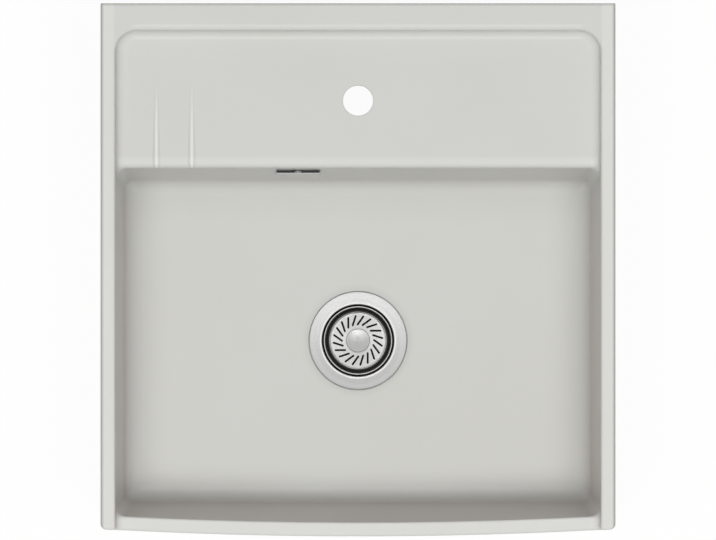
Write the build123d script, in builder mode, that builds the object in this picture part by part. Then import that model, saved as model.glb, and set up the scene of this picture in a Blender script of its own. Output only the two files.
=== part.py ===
from build123d import *
from math import atan, cos, degrees, hypot, pi, radians, sin
import os

os.makedirs("parts", exist_ok=True)

# ---------------------------------------------------------------------------
# Frame: millimetres, +Z up, +Y to the rear. The origin is on the axis of the
# waste, in the plane that the ceramic rests on.
# ---------------------------------------------------------------------------

# Ceramic body, outside
body_width = 595.0
body_height = 220.0
side_depth = 608.0
front_bow = 8.5
waste_to_rear = 391.0
front_corner_radius = 7.0
rear_corner_radius = 1.5
rim_edge_radius = 4.0

# Recessed ledge behind the bowl
rim_side_width = 17.0
rim_rear_width = 31.3
recess_depth = 15.5
ledge_depth = 190.3
ledge_fall = 3.2
recess_corner_radius = 25.0
inner_corner_radius = 11.0
nose_radius = 7.0

# Bowl
floor_height = 30.0
side_wall_lean = 8.0
rear_wall_lean = 14.0
front_wall_lean = 20.5
front_wall_top = 16.4
front_top_drop = 16.0
front_lip_radius = 3.0
floor_radius = 20.0

# Floor round the waste
dish_radius = 158.0
dish_fall = 2.5
seat_radius = 58.5
seat_depth = 2.2
waste_hole_radius = 45.0

# Underside
foot_width = 35.0
foot_height = 12.0
foot_corner_radius = 30.0
rear_wall_thickness = 15.0
ledge_thickness = 15.0
skirt_height = 70.0
skirt_thickness = 18.0
skirt_corner_radius = 5.0

# Tap hole
tap_hole_radius = 17.5
tap_hole_to_rear = 112.3
tap_hole_lip = 1.0

# Ribs on the drainer
rib_positions = [-233.2, -192.3]
rib_starts = [86.0, 70.0]
rib_rise = 2.2
rib_foot = 0.2
rib_half_base = 7.2
rib_crest_radius = 4.6
rib_root_depth = 5.5
rib_roll_radius = 8.0
rib_over_nose = 0.57

# Waste: flange, cup and what seals them
flange_radius = 57.4
sheet = 1.2
flange_seal_width = 10.0
flange_seal_thickness = 1.5
flange_roll_radius = 2.5
cup_radius = 42.0
cup_taper = 1.0
cup_depth = 36.0
plug_seat_width = 14.0
plug_seat_fall = 5.0
bridge_arms = 3
bridge_arm_width = 7.0
bridge_ring_radius = 11.0

# Waste housing under the bowl
lower_seal_thickness = 2.0
housing_flange_radius = 57.0
housing_flange_thickness = 5.0
housing_inner_radius = 47.5
housing_wall = 3.0
housing_depth = 44.0
housing_cone_height = 14.5
gusset_count = 12
gusset_height = 9.0
gusset_thickness = 2.0
outlet_thread_radius = 23.9
outlet_bore_radius = 20.5
outlet_length = 22.0
insert_wall = 2.0
insert_length = 16.0
boss_wall = 2.0
web_thickness = 3.0

# Clamping screw and the spring ring in its head
clamp_radius = 6.0
clamp_head_across = 15.0
clamp_head_height = 8.0
clamp_below_insert = 1.5
thread_clearance = 0.05
running_clearance = 0.05
bore_past_pin = 2.0
grip_ring_wall = 1.15
grip_ring_height = 1.2
grip_ring_gap_angle = 30.0
grip_ring_below_top = 2.5

# Basket
rim_drop = 4.0
rim_bead_radius = 0.95
rim_radius = 40.6
basket_sheet = 0.8
sieve_drop = 16.0
sieve_radius = 33.4
channel_depth = 3.0
channel_width = 2.4
slot_count = 20
slot_length = 13.6
slot_width = 2.3
slot_radius = 23.6
slot_tilt = 28.6
slot_start = 10.9

# Knob, pin and plug of the basket
knob_radius = 13.8
knob_height = 7.0
knob_neck_radius = 9.5
knob_neck_height = 2.5
knob_edge_radius = 1.2
knob_cavity_clearance = 1.5
pin_radius = 3.5
pin_collar_radius = 5.0
pin_collar_height = 1.5
pin_play = 0.2
pin_engagement = 26.0
pin_groove_depth = 0.4
plug_lift = 8.0
plug_radius = 33.8
plug_lip_width = 3.4
plug_lip_height = 2.0
plug_hub_radius = 7.5
plug_hub_height = 6.5
plug_disc_thickness = 2.2
plug_clearance = 0.35

# Overflow in the bowl's rear wall
overflow_x = -69.5
overflow_drop = 50.0
overflow_slot = (44.0, 10.0)
cover_size = (53.0, 18.0)
cover_sheet = 1.5
cover_stand_off = 3.5
cover_corner_radius = 2.0
dimple_radius = 6.0
dimple_depth = 2.3
overflow_screw_radius = 2.5
overflow_screw_head_radius = 4.8
overflow_screw_length = 40.0
gasket_margin = 6.5
gasket_thickness = 2.0
gasket_slot_margin = 1.0
head_flange_thickness = 4.0
head_chamber = (50.0, 20.0, 28.0)
head_wall = 2.5
head_insert_radius = 4.0
head_insert_length = 16.0

# Hose from the overflow to the waste, with its nuts and seals
spigot_radius = 14.0
spigot_bore_radius = 9.5
spigot_drop = 41.0
inlet_length = 18.0
inlet_z = -18.0
hose_seal_thickness = 2.0
hose_collar_radius = 12.5
hose_collar_length = 3.0
hose_cuff_radius = 11.0
hose_cuff_length = 22.0
hose_bore_radius = 8.6
hose_valley_radius = 9.9
hose_crest_radius = 11.6
hose_rib_pitch = 5.0
hose_rib_shares = (0.0, 0.22, 0.52, 0.74)
hose_bend_radius = 48.0
nut_radius = 17.0
nut_grips = 12
nut_grip_radius = 1.4
nut_clearance = 0.15
nut_thread_length = 15.0
nut_shoulder = 4.0

# ---------------------------------------------------------------------------
# Levels and places worked out from the sizes above
# ---------------------------------------------------------------------------
half_width = body_width / 2
rear_y = waste_to_rear
front_side_y = rear_y - side_depth
front_mid_y = front_side_y - front_bow
floor_z = floor_height
bowl_depth = body_height - floor_z
half_inner = half_width - rim_side_width
recess_rear_y = rear_y - rim_rear_width
nose_y = rear_y - ledge_depth
ledge_rear_z = body_height - recess_depth
ledge_front_z = ledge_rear_z - ledge_fall
ledge_slope = ledge_fall / (recess_rear_y - nose_y)
front_top_z = body_height - front_top_drop
side_lean_angle = degrees(atan(side_wall_lean / bowl_depth))
rear_lean_slope = rear_wall_lean / (ledge_front_z - floor_z)
beyond = 100.0
near = 0.5
match = 0.01


def rear_wall_y(z):
    """Y of the bowl's rear wall at height z."""
    return nose_y - rear_lean_slope * (ledge_front_z - z)


def ledge_z(y):
    """Height of the ledge's surface at y."""
    return ledge_rear_z - ledge_slope * (recess_rear_y - y)


def finish(piece, name):
    """Label a finished piece and write it."""
    piece.part.label = name
    export_step(piece.part, f"parts/{name}.step")


def half_section(*points):
    """Section of a turned piece, from (radius, z) points."""
    with BuildSketch(Plane.XZ) as section:
        with BuildLine():
            Polyline(*points, close=True)
        make_face()
    return section.sketch


def circles_at(piece, radius, z):
    """Circular edges of a turned piece with this radius and height."""
    return piece.edges().filter_by(
        lambda edge: edge.geom_type == GeomType.CIRCLE
        and abs(edge.radius - radius) < match
        and abs(edge.center(CenterOf.GEOMETRY).Z - z) < match
    )


def bow_y(x, mid_y):
    """Y at x on a front line that bows out to mid_y in the middle."""
    return mid_y + front_bow * (x / half_width) ** 2


# ---------------------------------------------------------------------------
# Ceramic body: the tools that hollow it out
# ---------------------------------------------------------------------------
bed_half = half_width + beyond
front_bed_y = front_mid_y + front_wall_top

with BuildPart() as trough:
    trough_front_y = front_mid_y - beyond
    trough_half = half_inner - side_wall_lean
    trough_rear_y = recess_rear_y - side_wall_lean
    with BuildSketch(Plane.XY.offset(floor_z)) as trough_plan:
        with Locations((0, (trough_front_y + trough_rear_y) / 2)):
            Rectangle(2 * trough_half, trough_rear_y - trough_front_y)
        fillet(trough_plan.vertices().group_by(Axis.Y)[-1], recess_corner_radius - side_wall_lean)
    extrude(amount=bowl_depth, taper=-side_lean_angle)

with BuildPart() as ledge_bed:
    with BuildSketch(Plane.YZ):
        with BuildLine():
            Polyline(
                (rear_wall_y(0), 0),
                (nose_y, ledge_front_z),
                (rear_y + beyond, ledge_z(rear_y + beyond)),
                (rear_y + beyond, 0),
                close=True,
            )
        make_face()
    extrude(amount=bed_half, both=True)
    nose_edge = ledge_bed.edges().filter_by(Axis.X).sort_by_distance((0, nose_y, ledge_front_z))[0]
    fillet(nose_edge, nose_radius)

with BuildPart() as front_bed:
    front_foot_y = front_bed_y + front_wall_lean
    front_far_y = front_mid_y - 2 * beyond
    with BuildSketch(Plane.XY.offset(floor_z)):
        with BuildLine():
            Polyline((-bed_half, front_foot_y), (-bed_half, front_far_y), (bed_half, front_far_y),
                     (bed_half, front_foot_y))
            Line((bed_half, front_foot_y), (-bed_half, front_foot_y))
        make_face()
    with BuildSketch(Plane.XY.offset(front_top_z)):
        with BuildLine():
            end_y = bow_y(bed_half, front_bed_y)
            Polyline((-bed_half, end_y), (-bed_half, front_far_y), (bed_half, front_far_y),
                     (bed_half, end_y))
            ThreePointArc((bed_half, end_y), (0, front_bed_y), (-bed_half, end_y))
        make_face()
    loft(ruled=True)
    fillet(front_bed.edges().group_by(Axis.Z)[-1].filter_by(GeomType.CIRCLE), front_lip_radius)

with BuildPart() as hollow:
    add(trough.part)
    add(ledge_bed.part, mode=Mode.SUBTRACT)
    add(front_bed.part, mode=Mode.SUBTRACT)
    fillet(hollow.edges().group_by(Axis.Z)[0], floor_radius)
    corner_posts = hollow.edges().filter_by(lambda edge: edge.bounding_box().size.Z > bowl_depth / 2)
    fillet(corner_posts, inner_corner_radius)

# ---------------------------------------------------------------------------
# Ceramic body: block, hollows, foot, holes and ribs
# ---------------------------------------------------------------------------
wall_lean_angle = degrees(atan(rear_lean_slope))
outer_wall_shift = rear_wall_thickness / cos(radians(wall_lean_angle))
skirt_z = body_height - skirt_height
foot_rear_y = rear_wall_y(0) + outer_wall_shift
hollow_half = half_width - skirt_thickness
hollow_rear_y = rear_y - skirt_thickness
dish_z = floor_z - dish_fall
seat_z = dish_z - seat_depth
tap_hole_y = rear_y - tap_hole_to_rear
overflow_z = body_height - overflow_drop

overflow_plane = Plane(
    origin=(overflow_x, rear_wall_y(overflow_z), overflow_z),
    x_dir=(1, 0, 0),
    z_dir=(0, -cos(radians(wall_lean_angle)), sin(radians(wall_lean_angle))),
)

# Open space behind the bowl's rear wall, under the ledge's skirt
with BuildPart() as undercut:
    with BuildSketch(Plane.YZ):
        with BuildLine():
            Polyline(
                (rear_wall_y(-beyond) + outer_wall_shift, -beyond),
                (rear_wall_y(skirt_z) + outer_wall_shift, skirt_z),
                (rear_y + beyond, skirt_z),
                (rear_y + beyond, -beyond),
                close=True,
            )
        make_face()
    extrude(amount=bed_half, both=True)

with BuildPart() as ledge_hollow:
    hollow_front_z = ledge_front_z - ledge_thickness
    hollow_front_y = rear_wall_y(hollow_front_z) + outer_wall_shift
    with BuildSketch(Plane.YZ):
        with BuildLine():
            Polyline(
                (rear_wall_y(floor_z) + outer_wall_shift, floor_z),
                (hollow_front_y, hollow_front_z),
                (hollow_rear_y, ledge_z(hollow_rear_y) - ledge_thickness),
                (hollow_rear_y, floor_z),
                close=True,
            )
        make_face()
    extrude(amount=hollow_half, both=True)
    fillet(ledge_hollow.faces().sort_by(Axis.Z)[-1].edges(), skirt_corner_radius)

with BuildPart() as sink_body:
    with BuildSketch() as body_plan:
        with BuildLine():
            Polyline((-half_width, front_side_y), (-half_width, rear_y), (half_width, rear_y),
                     (half_width, front_side_y))
            ThreePointArc((half_width, front_side_y), (0, front_mid_y), (-half_width, front_side_y))
        make_face()
        fillet(body_plan.vertices().group_by(Axis.Y)[0], front_corner_radius)
        fillet(body_plan.vertices().group_by(Axis.Y)[-1], rear_corner_radius)
    extrude(amount=body_height)
    add(hollow.part, mode=Mode.SUBTRACT)
    rim_edges = sink_body.edges().group_by(Axis.Z)[-1]
    front_edges = sink_body.edges().filter_by(
        lambda edge: edge.bounding_box().max.Y < front_side_y - near
        and edge.bounding_box().min.Z > front_top_z - near
        and edge.bounding_box().min.Z < body_height - near
    )
    fillet(rim_edges + front_edges, rim_edge_radius)
    add(undercut.part, mode=Mode.SUBTRACT)
    add(ledge_hollow.part, mode=Mode.SUBTRACT)

    # Foot ring that the bowl rests on
    foot_front_y = front_side_y + foot_width
    foot_back_y = foot_rear_y - foot_width
    with BuildSketch() as foot_inside:
        with Locations((0, (foot_front_y + foot_back_y) / 2)):
            Rectangle(body_width - 2 * foot_width, foot_back_y - foot_front_y)
        fillet(foot_inside.vertices(), foot_corner_radius)
    extrude(amount=foot_height, mode=Mode.SUBTRACT)

    # Floor falling to the waste, with the flange's seat
    with BuildSketch(Plane.XZ):
        with BuildLine():
            TangentArc((dish_radius, floor_z), (seat_radius, dish_z), tangent=(-1, 0))
            Polyline((seat_radius, dish_z), (seat_radius, seat_z), (0, seat_z), (0, floor_z + seat_depth),
                     (dish_radius, floor_z + seat_depth), (dish_radius, floor_z))
        make_face()
    revolve(axis=Axis.Z, mode=Mode.SUBTRACT)
    with Locations((0, 0, seat_z)):
        Cylinder(waste_hole_radius, 2 * floor_z, mode=Mode.SUBTRACT)

    # Tap hole
    with Locations((0, tap_hole_y, ledge_z(tap_hole_y))):
        Cylinder(tap_hole_radius, 3 * ledge_thickness, mode=Mode.SUBTRACT)
    tap_hole_side = (tap_hole_radius, tap_hole_y, ledge_z(tap_hole_y))
    tap_hole_edge = sink_body.edges().sort_by_distance(tap_hole_side)[0]
    fillet(tap_hole_edge, tap_hole_lip)

    # Overflow slot
    with BuildSketch(overflow_plane.offset(-rear_wall_thickness / 2)):
        SlotOverall(*overflow_slot)
    extrude(amount=rear_wall_thickness, both=True, mode=Mode.SUBTRACT)

    # Drainer ribs: level crests, so that they come out of the falling ledge
    rib_turn_y = nose_y + rib_roll_radius - rib_over_nose
    rib_crest_z = ledge_z(nose_y + nose_radius) + rib_rise
    rib_height = rib_rise + rib_foot
    rib_flank_radius = (rib_half_base**2 + rib_height**2) / (2 * rib_height) - rib_crest_radius
    crest_share = rib_crest_radius / (rib_crest_radius + rib_flank_radius)
    for rib_x, rib_start in zip(rib_positions, rib_starts):
        rib_back_y = rear_y - rib_start + rib_half_base
        rib_plane = Plane((rib_x, rib_turn_y, rib_crest_z), x_dir=(1, 0, 0), z_dir=(0, -1, 0))
        with BuildSketch(rib_plane) as rib_section:
            with BuildLine():
                crest_end = (rib_half_base * crest_share, -rib_height * crest_share)
                crest = TangentArc((0, 0), crest_end, tangent=(1, 0))
                TangentArc(crest @ 1, (rib_half_base, -rib_height), tangent=crest % 1)
                Polyline((rib_half_base, -rib_height), (rib_half_base, -rib_root_depth),
                         (0, -rib_root_depth))
                mirror(about=Plane.YZ)
            make_face()
        extrude(amount=rib_turn_y - rib_back_y)
        rib_roll_axis = Axis((0, rib_turn_y, rib_crest_z - rib_roll_radius), (1, 0, 0))
        revolve(rib_section.sketch, axis=rib_roll_axis, revolution_arc=90)

finish(sink_body, "sink_body")

# ---------------------------------------------------------------------------
# Waste: flange and cup, screwed to a housing under the bowl
# ---------------------------------------------------------------------------
flange_z = seat_z + flange_seal_thickness
flange_top_z = flange_z + sheet
cup_seat_top_z = flange_top_z - cup_depth
plug_hole_radius = cup_radius - cup_taper - plug_seat_width
cup_seat_low_z = cup_seat_top_z - plug_seat_fall
bridge_z = cup_seat_low_z - sheet
plug_seat_slope = plug_seat_fall / plug_seat_width
clamp_head_top_z = cup_seat_low_z + clamp_head_height
pin_bore_radius = pin_radius + running_clearance
housing_top_z = foot_height - lower_seal_thickness
housing_low_z = housing_top_z - housing_depth
neck_z = housing_low_z - housing_cone_height
outlet_z = neck_z - outlet_length
housing_outer_radius = housing_inner_radius + housing_wall
insert_bore_radius = clamp_radius + thread_clearance
insert_radius = insert_bore_radius + insert_wall
insert_top_z = housing_low_z + insert_length - housing_cone_height
insert_low_z = insert_top_z - insert_length
clamp_tip_z = insert_low_z - clamp_below_insert

with BuildPart() as flange_seal:
    revolve(
        half_section(
            (flange_radius - flange_seal_width, seat_z),
            (flange_radius, seat_z),
            (flange_radius, flange_z),
            (flange_radius - flange_seal_width, flange_z),
        ),
        axis=Axis.Z,
    )
finish(flange_seal, "flange_seal")

with BuildPart() as waste_flange:
    revolve(
        half_section(
            (cup_radius + sheet, flange_z),
            (flange_radius, flange_z),
            (flange_radius, flange_top_z - sheet / 2),
            (flange_radius - sheet / 2, flange_top_z),
            (cup_radius, flange_top_z),
            (cup_radius - cup_taper, cup_seat_top_z),
            (plug_hole_radius, cup_seat_low_z),
            (plug_hole_radius, bridge_z),
            (cup_radius - cup_taper, cup_seat_top_z - sheet),
            (cup_radius - cup_taper + sheet, cup_seat_top_z - sheet / 2),
        ),
        axis=Axis.Z,
    )
    fillet(circles_at(waste_flange, cup_radius, flange_top_z), flange_roll_radius)
    fillet(circles_at(waste_flange, cup_radius + sheet, flange_z), flange_roll_radius - sheet)
    with Locations((0, 0, bridge_z)):
        Cylinder(bridge_ring_radius, sheet, align=(Align.CENTER, Align.CENTER, Align.MIN))
        with PolarLocations(0, bridge_arms):
            Box(plug_hole_radius + sheet, bridge_arm_width, sheet,
                align=(Align.MIN, Align.CENTER, Align.MIN))
        Cylinder(clamp_radius + running_clearance, 3 * sheet, mode=Mode.SUBTRACT)
finish(waste_flange, "waste_flange")

with BuildPart() as lower_seal:
    revolve(
        half_section(
            (housing_inner_radius, housing_top_z),
            (housing_flange_radius, housing_top_z),
            (housing_flange_radius, foot_height),
            (housing_inner_radius, foot_height),
        ),
        axis=Axis.Z,
    )
finish(lower_seal, "lower_seal")

# The inlet looks along the hose, towards the overflow head
head_face = gasket_thickness + rear_wall_thickness
chamber_mid = head_face + head_flange_thickness + head_chamber[2] / 2
head_axis = overflow_plane.from_local_coords((0, 0, -chamber_mid))
hose_run = hypot(head_axis.X, head_axis.Y)
inlet_direction = Vector(head_axis.X, head_axis.Y, 0) / hose_run
inlet_start = housing_outer_radius - housing_wall / 2
inlet_end = housing_outer_radius + inlet_length
inlet_plane = Plane(inlet_direction * inlet_end + Vector(0, 0, inlet_z), z_dir=inlet_direction)
spigot_z = head_axis.Z - spigot_drop
spigot_plane = Plane((head_axis.X, head_axis.Y, spigot_z), z_dir=(0, 0, -1))

gusset_z = housing_top_z - housing_flange_thickness
with BuildPart() as gusset:
    with BuildSketch(Plane.XZ):
        with BuildLine():
            Polyline(
                (housing_outer_radius - housing_wall / 2, gusset_z),
                (housing_flange_radius, gusset_z),
                (housing_outer_radius, gusset_z - gusset_height),
                (housing_outer_radius - housing_wall / 2, gusset_z - gusset_height),
                close=True,
            )
        make_face()
    extrude(amount=gusset_thickness / 2, both=True)

with BuildPart() as boss_web:
    with BuildSketch(Plane.XZ):
        with BuildLine():
            Polyline(
                (0, insert_top_z),
                (housing_inner_radius + housing_wall / 3, insert_top_z),
                (housing_inner_radius + housing_wall / 3, housing_low_z),
                (outlet_bore_radius + housing_wall / 3, neck_z),
                (0, neck_z),
                close=True,
            )
        make_face()
    extrude(amount=web_thickness / 2, both=True)

with BuildPart() as waste_housing:
    revolve(
        half_section(
            (housing_inner_radius, housing_top_z),
            (housing_flange_radius, housing_top_z),
            (housing_flange_radius, gusset_z),
            (housing_outer_radius, gusset_z),
            (housing_outer_radius, housing_low_z - housing_wall / 2),
            (outlet_thread_radius, neck_z - housing_wall / 2),
            (outlet_thread_radius, outlet_z),
            (outlet_bore_radius, outlet_z),
            (outlet_bore_radius, neck_z),
            (housing_inner_radius, housing_low_z),
        ),
        axis=Axis.Z,
    )
    with PolarLocations(0, gusset_count):
        add(gusset.part)
    with PolarLocations(0, bridge_arms, start_angle=180 / bridge_arms):
        add(boss_web.part)
    with Locations((0, 0, insert_low_z)):
        Cylinder(insert_radius + boss_wall, insert_length, align=(Align.CENTER, Align.CENTER, Align.MIN))
        Cylinder(insert_radius, 3 * insert_length, mode=Mode.SUBTRACT)
    with BuildSketch(inlet_plane):
        Circle(spigot_radius)
    extrude(amount=inlet_start - inlet_end)
    with BuildSketch(inlet_plane):
        Circle(spigot_bore_radius)
    extrude(amount=housing_inner_radius - housing_wall - inlet_end, mode=Mode.SUBTRACT)
finish(waste_housing, "waste_housing")

with BuildPart() as housing_insert:
    with Locations((0, 0, insert_low_z)):
        Cylinder(insert_radius, insert_length, align=(Align.CENTER, Align.CENTER, Align.MIN))
        Cylinder(insert_bore_radius, 3 * insert_length, mode=Mode.SUBTRACT)
finish(housing_insert, "housing_insert")

# Hollow screw: its head holds the basket's pin
grip_ring_z = clamp_head_top_z - grip_ring_below_top - grip_ring_height
pin_tip_z = clamp_head_top_z - pin_engagement
with BuildPart() as clamp_screw:
    with BuildSketch(Plane.XY.offset(cup_seat_low_z)):
        RegularPolygon(clamp_head_across / 2, 6, major_radius=False)
    extrude(amount=clamp_head_height)
    chamfer(clamp_screw.faces().sort_by(Axis.Z)[-1].edges(), sheet / 2)
    with Locations((0, 0, clamp_tip_z)):
        Cylinder(clamp_radius, cup_seat_low_z - clamp_tip_z, align=(Align.CENTER, Align.CENTER, Align.MIN))
    chamfer(circles_at(clamp_screw, clamp_radius, clamp_tip_z), sheet)
    with Locations((0, 0, pin_tip_z - bore_past_pin)):
        Cylinder(pin_bore_radius, pin_engagement + 2 * bore_past_pin,
                 align=(Align.CENTER, Align.CENTER, Align.MIN), mode=Mode.SUBTRACT)
    with Locations((0, 0, grip_ring_z)):
        Cylinder(pin_bore_radius + grip_ring_wall, grip_ring_height,
                 align=(Align.CENTER, Align.CENTER, Align.MIN), mode=Mode.SUBTRACT)
finish(clamp_screw, "clamp_screw")

with BuildPart() as grip_ring:
    revolve(
        half_section(
            (pin_bore_radius, grip_ring_z),
            (pin_bore_radius + grip_ring_wall, grip_ring_z),
            (pin_bore_radius + grip_ring_wall, grip_ring_z + grip_ring_height),
            (pin_bore_radius, grip_ring_z + grip_ring_height),
        ),
        axis=Axis.Z,
        revolution_arc=360 - grip_ring_gap_angle,
    )
finish(grip_ring, "grip_ring")

# ---------------------------------------------------------------------------
# Basket, which turns on its pin; pin and plug lift out with it
# ---------------------------------------------------------------------------
sieve_z = flange_top_z - sieve_drop
rim_z = flange_top_z - rim_drop
bead_axis_radius = rim_radius - rim_bead_radius
bead_z = rim_z - rim_bead_radius
channel_z = sieve_z - channel_depth

with BuildPart() as basket:
    channel_radius = sieve_radius + channel_width
    revolve(
        half_section(
            (pin_bore_radius, sieve_z),
            (sieve_radius - basket_sheet, sieve_z),
            (sieve_radius, channel_z),
            (channel_radius, channel_z),
            (bead_axis_radius - basket_sheet, bead_z),
            (bead_axis_radius, bead_z),
            (channel_radius + basket_sheet, channel_z - basket_sheet),
            (sieve_radius - basket_sheet, channel_z - basket_sheet),
            (sieve_radius - 2 * basket_sheet, sieve_z - basket_sheet),
            (pin_bore_radius, sieve_z - basket_sheet),
        ),
        axis=Axis.Z,
    )
    fillet(circles_at(basket, sieve_radius - basket_sheet, sieve_z), 2 * basket_sheet)
    with BuildSketch(Plane.XZ):
        with Locations((bead_axis_radius, bead_z)):
            Circle(rim_bead_radius)
    revolve(axis=Axis.Z)
    with BuildSketch(Plane.XY.offset(sieve_z)):
        with PolarLocations(slot_radius, slot_count, start_angle=slot_start):
            SlotOverall(slot_length, slot_width, rotation=-slot_tilt)
    extrude(amount=2 * basket_sheet, both=True, mode=Mode.SUBTRACT)
finish(basket, "basket")

collar_top_z = sieve_z - basket_sheet - pin_play
pin_head_z = sieve_z + pin_play
with BuildPart() as basket_knob:
    cavity_radius = pin_collar_radius + knob_cavity_clearance
    revolve(
        half_section(
            (cavity_radius, sieve_z),
            (knob_neck_radius, sieve_z),
            (knob_neck_radius, sieve_z + knob_neck_height),
            (knob_radius, sieve_z + knob_neck_height),
            (knob_radius, sieve_z + knob_height),
            (0, sieve_z + knob_height),
            (0, pin_head_z + pin_collar_height + pin_play),
            (cavity_radius, pin_head_z + pin_collar_height + pin_play),
        ),
        axis=Axis.Z,
    )
    fillet(circles_at(basket_knob, knob_radius, sieve_z + knob_height), knob_edge_radius)
    fillet(circles_at(basket_knob, knob_radius, sieve_z + knob_neck_height), knob_edge_radius / 2)
finish(basket_knob, "basket_knob")

with BuildPart() as basket_pin:
    groove_radius = pin_radius - pin_groove_depth
    groove_mid_z = grip_ring_z + grip_ring_height / 2
    with Locations((0, 0, pin_tip_z)):
        Cylinder(pin_radius, pin_head_z + pin_collar_height - pin_tip_z,
                 align=(Align.CENTER, Align.CENTER, Align.MIN))
    chamfer(circles_at(basket_pin, pin_radius, pin_tip_z), sheet)
    for collar_z in (collar_top_z - pin_collar_height, pin_head_z):
        with Locations((0, 0, collar_z)):
            Cylinder(pin_collar_radius, pin_collar_height, align=(Align.CENTER, Align.CENTER, Align.MIN))
    for groove_z in (groove_mid_z, groove_mid_z - plug_lift):
        revolve(
            half_section(
                (groove_radius, groove_z),
                (pin_radius + match, groove_z - grip_ring_height / 2),
                (pin_radius + match, groove_z + grip_ring_height / 2),
            ),
            axis=Axis.Z,
            mode=Mode.SUBTRACT,
        )
finish(basket_pin, "basket_pin")


def above_seat(radius):
    """Lowest height that the plug may have at this radius."""
    return cup_seat_low_z + plug_seat_slope * (radius - plug_hole_radius) + plug_clearance


with BuildPart() as basket_plug:
    lip_radius = plug_radius - plug_lip_width
    dome_z = clamp_head_top_z + plug_clearance
    dome_radius = clamp_head_across / 2 / cos(pi / 6) + plug_clearance
    revolve(
        half_section(
            (pin_radius, dome_z),
            (dome_radius, dome_z),
            (lip_radius, above_seat(lip_radius) + plug_lip_height / 3),
            (lip_radius, above_seat(lip_radius)),
            (plug_radius, above_seat(plug_radius)),
            (plug_radius, above_seat(plug_radius) + plug_lip_height),
            (dome_radius, dome_z + plug_disc_thickness),
            (plug_hub_radius, dome_z + plug_disc_thickness),
            (plug_hub_radius, dome_z + plug_hub_height),
            (pin_radius, dome_z + plug_hub_height),
        ),
        axis=Axis.Z,
    )
finish(basket_plug, "basket_plug")

# ---------------------------------------------------------------------------
# Overflow: cover in the bowl, gasket and head behind the wall
# ---------------------------------------------------------------------------
cover_face = cover_stand_off + cover_sheet
with BuildPart() as overflow_cover:
    with BuildSketch(overflow_plane.offset(cover_stand_off)):
        RectangleRounded(*cover_size, cover_corner_radius)
    extrude(amount=cover_sheet)
    with BuildSketch(overflow_plane):
        for side in (-1, 1):
            with Locations((side * (cover_size[0] - cover_sheet) / 2, 0)):
                Rectangle(cover_sheet, cover_size[1] - 2 * cover_corner_radius)
    extrude(amount=cover_stand_off + cover_sheet / 2)
    with BuildSketch(overflow_plane.offset(cover_face - dimple_depth - cover_sheet)):
        Circle(dimple_radius)
    extrude(amount=dimple_depth + cover_sheet / 2)
    with Locations(overflow_plane.offset(cover_face)):
        CounterSinkHole(overflow_screw_radius + running_clearance,
                        overflow_screw_head_radius + running_clearance, depth=2 * cover_face)
finish(overflow_cover, "overflow_cover")

with BuildPart() as overflow_screw:
    head_cone = overflow_screw_head_radius - overflow_screw_radius
    with BuildSketch(overflow_plane.offset(cover_face - overflow_screw_length)):
        Circle(overflow_screw_radius)
    extrude(amount=overflow_screw_length)
    with BuildSketch(overflow_plane.offset(cover_face - head_cone)):
        Circle(overflow_screw_radius)
    with BuildSketch(overflow_plane.offset(cover_face)):
        Circle(overflow_screw_head_radius)
    loft()
    with BuildSketch(overflow_plane.offset(cover_face)):
        Rectangle(2 * overflow_screw_head_radius, cover_sheet / 2)
    extrude(amount=-cover_sheet / 2, mode=Mode.SUBTRACT)
finish(overflow_screw, "overflow_screw")

gasket_size = (overflow_slot[0] + 2 * gasket_margin, overflow_slot[1] + 2 * gasket_margin)
with BuildPart() as overflow_gasket:
    with BuildSketch(overflow_plane.offset(-head_face)):
        RectangleRounded(*gasket_size, gasket_margin)
        SlotOverall(overflow_slot[0] + gasket_slot_margin, overflow_slot[1] + gasket_slot_margin,
                    mode=Mode.SUBTRACT)
    extrude(amount=gasket_thickness)
finish(overflow_gasket, "overflow_gasket")

insert_low = cover_face - overflow_screw_length - clamp_below_insert
with BuildPart() as overflow_head:
    chamber_back = head_face + head_flange_thickness + head_chamber[2]
    with BuildSketch(overflow_plane.offset(-head_face)):
        RectangleRounded(*gasket_size, gasket_margin)
    extrude(amount=-head_flange_thickness)
    with BuildSketch(overflow_plane.offset(-head_face - head_flange_thickness)):
        RectangleRounded(head_chamber[0], head_chamber[1], 2 * head_wall)
    extrude(amount=-head_chamber[2])
    with BuildSketch(spigot_plane):
        Circle(spigot_radius)
    extrude(amount=-spigot_drop)
    with BuildSketch(overflow_plane.offset(-head_face)):
        RectangleRounded(head_chamber[0] - 2 * head_wall, head_chamber[1] - 2 * head_wall, head_wall)
    extrude(amount=head_wall + head_face - chamber_back, mode=Mode.SUBTRACT)
    with BuildSketch(spigot_plane):
        Circle(spigot_bore_radius)
    extrude(amount=-spigot_drop, mode=Mode.SUBTRACT)
    with BuildSketch(overflow_plane.offset(-chamber_back + head_wall / 2)):
        Circle(head_insert_radius + head_wall)
        Circle(head_insert_radius, mode=Mode.SUBTRACT)
    extrude(amount=insert_low + head_insert_length + chamber_back - head_wall / 2)
finish(overflow_head, "overflow_head")

with BuildPart() as overflow_insert:
    with BuildSketch(overflow_plane.offset(insert_low)):
        Circle(head_insert_radius)
        Circle(overflow_screw_radius + thread_clearance, mode=Mode.SUBTRACT)
    extrude(amount=head_insert_length)
finish(overflow_insert, "overflow_insert")

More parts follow.
